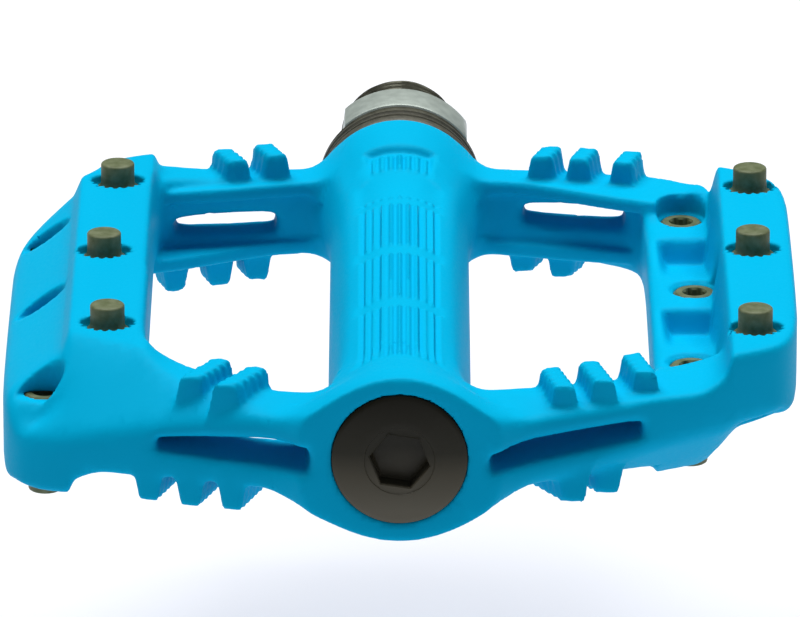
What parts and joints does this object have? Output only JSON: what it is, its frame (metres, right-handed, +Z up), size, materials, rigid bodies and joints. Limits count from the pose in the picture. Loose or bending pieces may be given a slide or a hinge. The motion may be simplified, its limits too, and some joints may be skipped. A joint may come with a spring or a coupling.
{
  "type": "flat pedal",
  "caption": "Flat bicycle pedal with a moulded platform, traction pins and lugs on both faces, turning on a steel spindle with a crank thread.",
  "frame": {"origin": "on the spindle's axis, in the plane of the shoulder that meets the crank", "axes": "+Y along the spindle towards the crank, +X across the platform, +Z up"},
  "size_m": [0.0926, 0.115, 0.0224],
  "materials": {
    "nylon_platform": "moulded glass-filled nylon, fine satin texture",
    "pin_steel": "black oxide, satin",
    "spindle_steel": "ground collar, dark thread",
    "bearing_steel": "polished",
    "shield_steel": "pressed sheet",
    "cage_brass": "pressed",
    "seal_rubber": "matte",
    "bushing_polymer": "machined polymer",
    "insert_nylon": "plain",
    "cap_metal": "black anodised, satin"
  },
  "bodies": {
    "spindle": {"spindle": "spindle_steel", "dust_washer": "cap_metal", "bearing_inner_race": "bearing_steel", "spindle_washer": "shield_steel", "spindle_locknut": "shield_steel", "locknut_insert": "insert_nylon"},
    "platform": {"platform_body": "nylon_platform", "pin_top_left_1": "pin_steel", "pin_top_left_2": "pin_steel", "pin_top_left_3": "pin_steel", "pin_top_right_1": "pin_steel", "pin_top_right_2": "pin_steel", "pin_top_right_3": "pin_steel", "pin_bottom_left_1": "pin_steel", "pin_bottom_left_2": "pin_steel", "pin_bottom_left_3": "pin_steel", "pin_bottom_right_1": "pin_steel", "pin_bottom_right_2": "pin_steel", "pin_bottom_right_3": "pin_steel", "hub_seal": "seal_rubber", "hub_bushing": "bushing_polymer", "bearing_outer_race": "bearing_steel", "bearing_shield_inboard": "shield_steel", "bearing_shield_outboard": "shield_steel", "end_cap": "cap_metal", "end_cap_oring": "seal_rubber"},
    "ball_set": {"bearing_cage": "cage_brass", "bearing_ball_1": "bearing_steel", "bearing_ball_2": "bearing_steel", "bearing_ball_3": "bearing_steel", "bearing_ball_4": "bearing_steel", "bearing_ball_5": "bearing_steel", "bearing_ball_6": "bearing_steel", "bearing_ball_7": "bearing_steel", "bearing_ball_8": "bearing_steel"}
  },
  "joints": [
    {"name": "platform_spin", "type": "hinge", "parent": "spindle", "child": "platform", "pos_m": [0, -0.0572, 0], "axis": [0, 1, 0], "continuous": true},
    {"name": "ball_set_spin", "type": "hinge", "parent": "spindle", "child": "ball_set", "pos_m": [0, -0.0895, 0], "axis": [0, 1, 0], "continuous": true}
  ],
  "couplings": [
    {"joint": "ball_set_spin", "follows": "platform_spin", "ratio": 0.6042}
  ]
}
